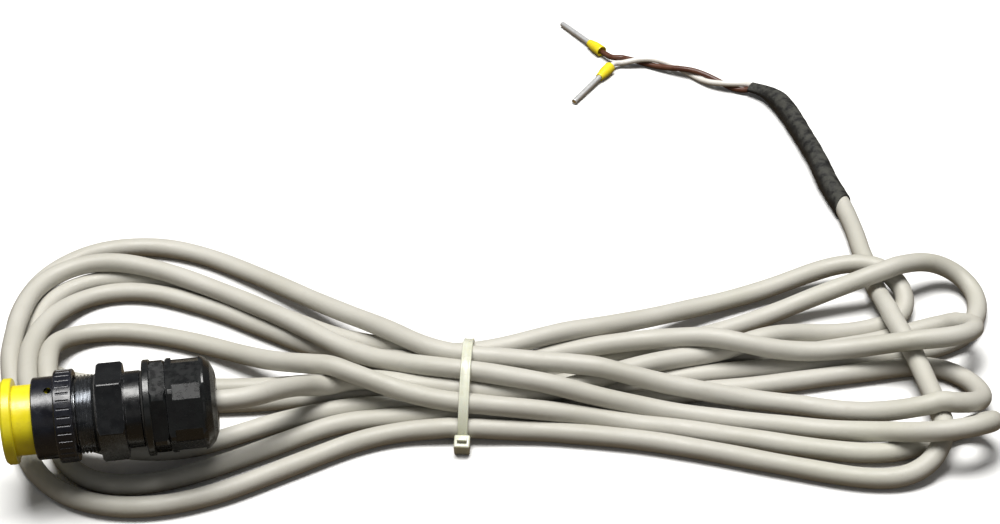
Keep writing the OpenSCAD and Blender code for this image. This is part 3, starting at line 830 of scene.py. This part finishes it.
LOOKS = {
    "cap_yellow": finish_look("cap_yellow", rgb(0.76, 0.64, 0.010), rgb(0.84, 0.73, 0.015), 7.0,
                              (0.28, 0.42), 0.5, 0.012, dust=(rgb(0.55, 0.42, 0.06), 0.25),
                              turned=(0.5, 0.006), coat=0.15, soft=0.08),
    "ring_black": finish_look("ring_black", rgb(0.004, 0.004, 0.007), rgb(0.009, 0.010, 0.016),
                              5.0, (0.20, 0.30), 0.25, 0.005, metal=0.15, spec=0.6,
                              dust=(GREY_DUST, 0.05), wear=(rgb(0.11, 0.115, 0.14), 0.2),
                              turned=(0.25, 0.005)),
    "spring_steel": finish_look("spring_steel", rgb(0.50, 0.51, 0.52), rgb(0.60, 0.60, 0.60), 3.0,
                                (0.22, 0.35), 0.3, 0.004, metal=1.0),
    "seal_rubber": finish_look("seal_rubber", rgb(0.012, 0.012, 0.012), rgb(0.022, 0.022, 0.022),
                               2.0, (0.60, 0.75), 0.3, 0.01, dust=(DUST, 0.15)),
    "shell_black": finish_look("shell_black", rgb(0.17, 0.178, 0.19), rgb(0.26, 0.27, 0.285), 4.0,
                               (0.16, 0.28), 0.3, 0.006, metal=0.95, spec=0.6,
                               dust=(GREY_DUST, 0.05), wear=(BARE, 0.2), turned=(0.2, 0.004)),
    "insert_resin": finish_look("insert_resin", rgb(0.030, 0.075, 0.065), rgb(0.045, 0.10, 0.085),
                                3.0, (0.40, 0.55), 0.3, 0.01),
    "contact_gold": finish_look("contact_gold", rgb(0.80, 0.58, 0.22), rgb(0.85, 0.64, 0.28), 1.0,
                                (0.20, 0.32), 0.2, 0.004, metal=1.0),
    "grommet_rubber": finish_look("grommet_rubber", rgb(0.16, 0.045, 0.03), rgb(0.20, 0.06, 0.04),
                                  2.0, (0.60, 0.75), 0.3, 0.01),
    "plain_aluminium": finish_look("plain_aluminium", rgb(0.62, 0.63, 0.64), rgb(0.70, 0.70, 0.70),
                                   3.0, (0.25, 0.38), 0.3, 0.004, metal=1.0, turned=(0.2, 0.004)),
    "adapter_black": finish_look("adapter_black", rgb(0.003, 0.003, 0.004),
                                 rgb(0.008, 0.009, 0.010), 5.0, (0.20, 0.30), 0.25, 0.005,
                                 metal=0.15, spec=0.6, dust=(GREY_DUST, 0.05),
                                 wear=(rgb(0.13, 0.13, 0.14), 0.2), turned=(0.25, 0.005)),
    "gland_plastic": finish_look("gland_plastic", rgb(0.002, 0.002, 0.0025),
                                 rgb(0.005, 0.006, 0.006), 4.0, (0.24, 0.36), 0.35, 0.010,
                                 spec=0.45, coat=0.25, dust=(GREY_DUST, 0.05),
                                 wear=(rgb(0.025, 0.027, 0.03), 0.25)),
    "slip_nylon": finish_look("slip_nylon", rgb(0.72, 0.70, 0.62), rgb(0.78, 0.76, 0.70), 3.0,
                              (0.35, 0.50), 0.3, 0.008, soft=0.2),
    "white_insulation": finish_look("white_insulation", rgb(0.74, 0.71, 0.66),
                                    rgb(0.82, 0.80, 0.76), 6.0, (0.28, 0.42), 0.3, 0.004,
                                    dust=(rgb(0.42, 0.36, 0.30), 0.18)),
    "brown_insulation": finish_look("brown_insulation", rgb(0.075, 0.024, 0.012),
                                    rgb(0.11, 0.038, 0.018), 6.0, (0.30, 0.42), 0.3, 0.004,
                                    dust=(rgb(0.30, 0.22, 0.17), 0.18)),
    "braid_copper": finish_look("braid_copper", rgb(0.50, 0.46, 0.40), rgb(0.62, 0.58, 0.52), 0.8,
                                (0.30, 0.45), 0.25, 0.05, metal=1.0),
    "tie_nylon": finish_look("tie_nylon", rgb(0.58, 0.59, 0.47), rgb(0.66, 0.67, 0.56), 5.0,
                             (0.26, 0.40), 0.4, 0.008, dust=(rgb(0.40, 0.37, 0.24), 0.22),
                             coat=0.1, soft=0.25),
    "ferrule_tin": finish_look("ferrule_tin", rgb(0.70, 0.71, 0.72), rgb(0.80, 0.80, 0.80), 1.5,
                               (0.30, 0.45), 0.2, 0.006, metal=0.55, spec=0.7,
                               dust=(rgb(0.3, 0.3, 0.3), 0.10)),
    "collar_yellow": finish_look("collar_yellow", rgb(0.86, 0.68, 0.015),
                                 rgb(0.93, 0.76, 0.03), 2.0, (0.25, 0.38), 0.3, 0.008,
                                 dust=(rgb(0.45, 0.33, 0.05), 0.25), coat=0.2, soft=0.15),
    "cable_jacket": cable_look(),
    "sleeve_black": sleeve_look(),
}


def wear_look(obj, slot):
    obj.data.materials.clear()
    obj.data.materials.append(LOOKS[slot])


# CAD nodes that stay: each gets the finish of its slot in its own material slots.
REPLACED = {"cable_in_gland", "gland_lead", "cable_hank_left", "cable_hank_waist",
            "cable_hank_right", "cable_tail", "tie_strap", "tie_head", "heat_shrink_sleeve",
            "white_wire", "brown_wire", "white_ferrule_tube", "brown_ferrule_tube",
            "white_ferrule_collar", "brown_ferrule_collar"}
for subpart in frame["record"]["subparts"]:
    if subpart["node"] in REPLACED:
        continue
    shown = frame["nodes"][subpart["node"]]
    if not shown.material_slots:
        shown.data.materials.append(None)
    for place in shown.material_slots:
        place.material = LOOKS[subpart["material_slot"]]

PIECES = [
    (cable, "cable_jacket", ["cable_in_gland", "gland_lead", "cable_hank_left",
                             "cable_hank_waist", "cable_hank_right", "cable_tail"]),
    (white_wire, "white_insulation", ["white_wire"]),
    (brown_wire, "brown_insulation", ["brown_wire"]),
    (sleeve_piece, "sleeve_black", ["heat_shrink_sleeve"]),
    (white_collar, "collar_yellow", ["white_ferrule_collar"]),
    (brown_collar, "collar_yellow", ["brown_ferrule_collar"]),
    (white_barrel, "ferrule_tin", ["white_ferrule_tube"]),
    (brown_barrel, "ferrule_tin", ["brown_ferrule_tube"]),
    (white_strands, "contact_gold", []),
    (brown_strands, "contact_gold", []),
    (tie_band, "tie_nylon", ["tie_strap"]),
    (tie_block, "tie_nylon", ["tie_head"]),
    (tie_end, "tie_nylon", []),
]
for piece, slot, nodes in PIECES:
    wear_look(piece, slot)
    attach(piece, "root")
    if nodes:
        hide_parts(*nodes)


# ---------------------------------------------------------------- floor and light

def floor():
    """A plain pale floor. What it throws back on the object is dimmer and warmer than what the
    camera sees, so that the lead keeps dark, warm undersides."""
    half = 3.0
    obj = mesh_object("floor", [(-half, -half, REST_Z), (half, -half, REST_Z),
                                (half, half, REST_Z), (-half, half, REST_Z)], [(0, 1, 2, 3)],
                      smooth_faces=False)
    look = Look("floor")
    seen = look.node("ShaderNodeLightPath").outputs["Is Camera Ray"]
    colour = look.mixed(seen, rgb(0.12, 0.09, 0.055), rgb(0.95, 0.95, 0.945))
    look.set(Base_Color=colour, Roughness=0.9, Specular_IOR_Level=0.1)
    obj.data.materials.append(look.material)


def lamp(name, location, target, size, power, colour=(1.0, 1.0, 1.0)):
    data = bpy.data.lights.new(name, "AREA")
    data.shape = "RECTANGLE"
    data.size, data.size_y = size
    data.energy = power
    data.color = colour
    obj = bpy.data.objects.new(name, data)
    bpy.context.scene.collection.objects.link(obj)
    obj.location = location
    aim(obj, target)


def surroundings(strength):
    world = bpy.data.worlds.new("world")
    bpy.context.scene.world = world
    world.use_nodes = True
    background = world.node_tree.nodes["Background"]
    background.inputs["Color"].default_value = (0.96, 0.98, 1.0, 1.0)
    background.inputs["Strength"].default_value = strength


floor()
middle = (0.14, 0.03, REST_Z)
lamp("overhead", (0.10, 0.14, 1.10), middle, (0.8, 0.5), 20.5, (1.0, 0.99, 0.965))
lamp("front_fill", (0.30, -1.3, 0.75), middle, (1.2, 0.6), 0.6, (1.0, 0.95, 0.88))
surroundings(0.13)
bpy.context.scene.view_settings.view_transform = "Standard"
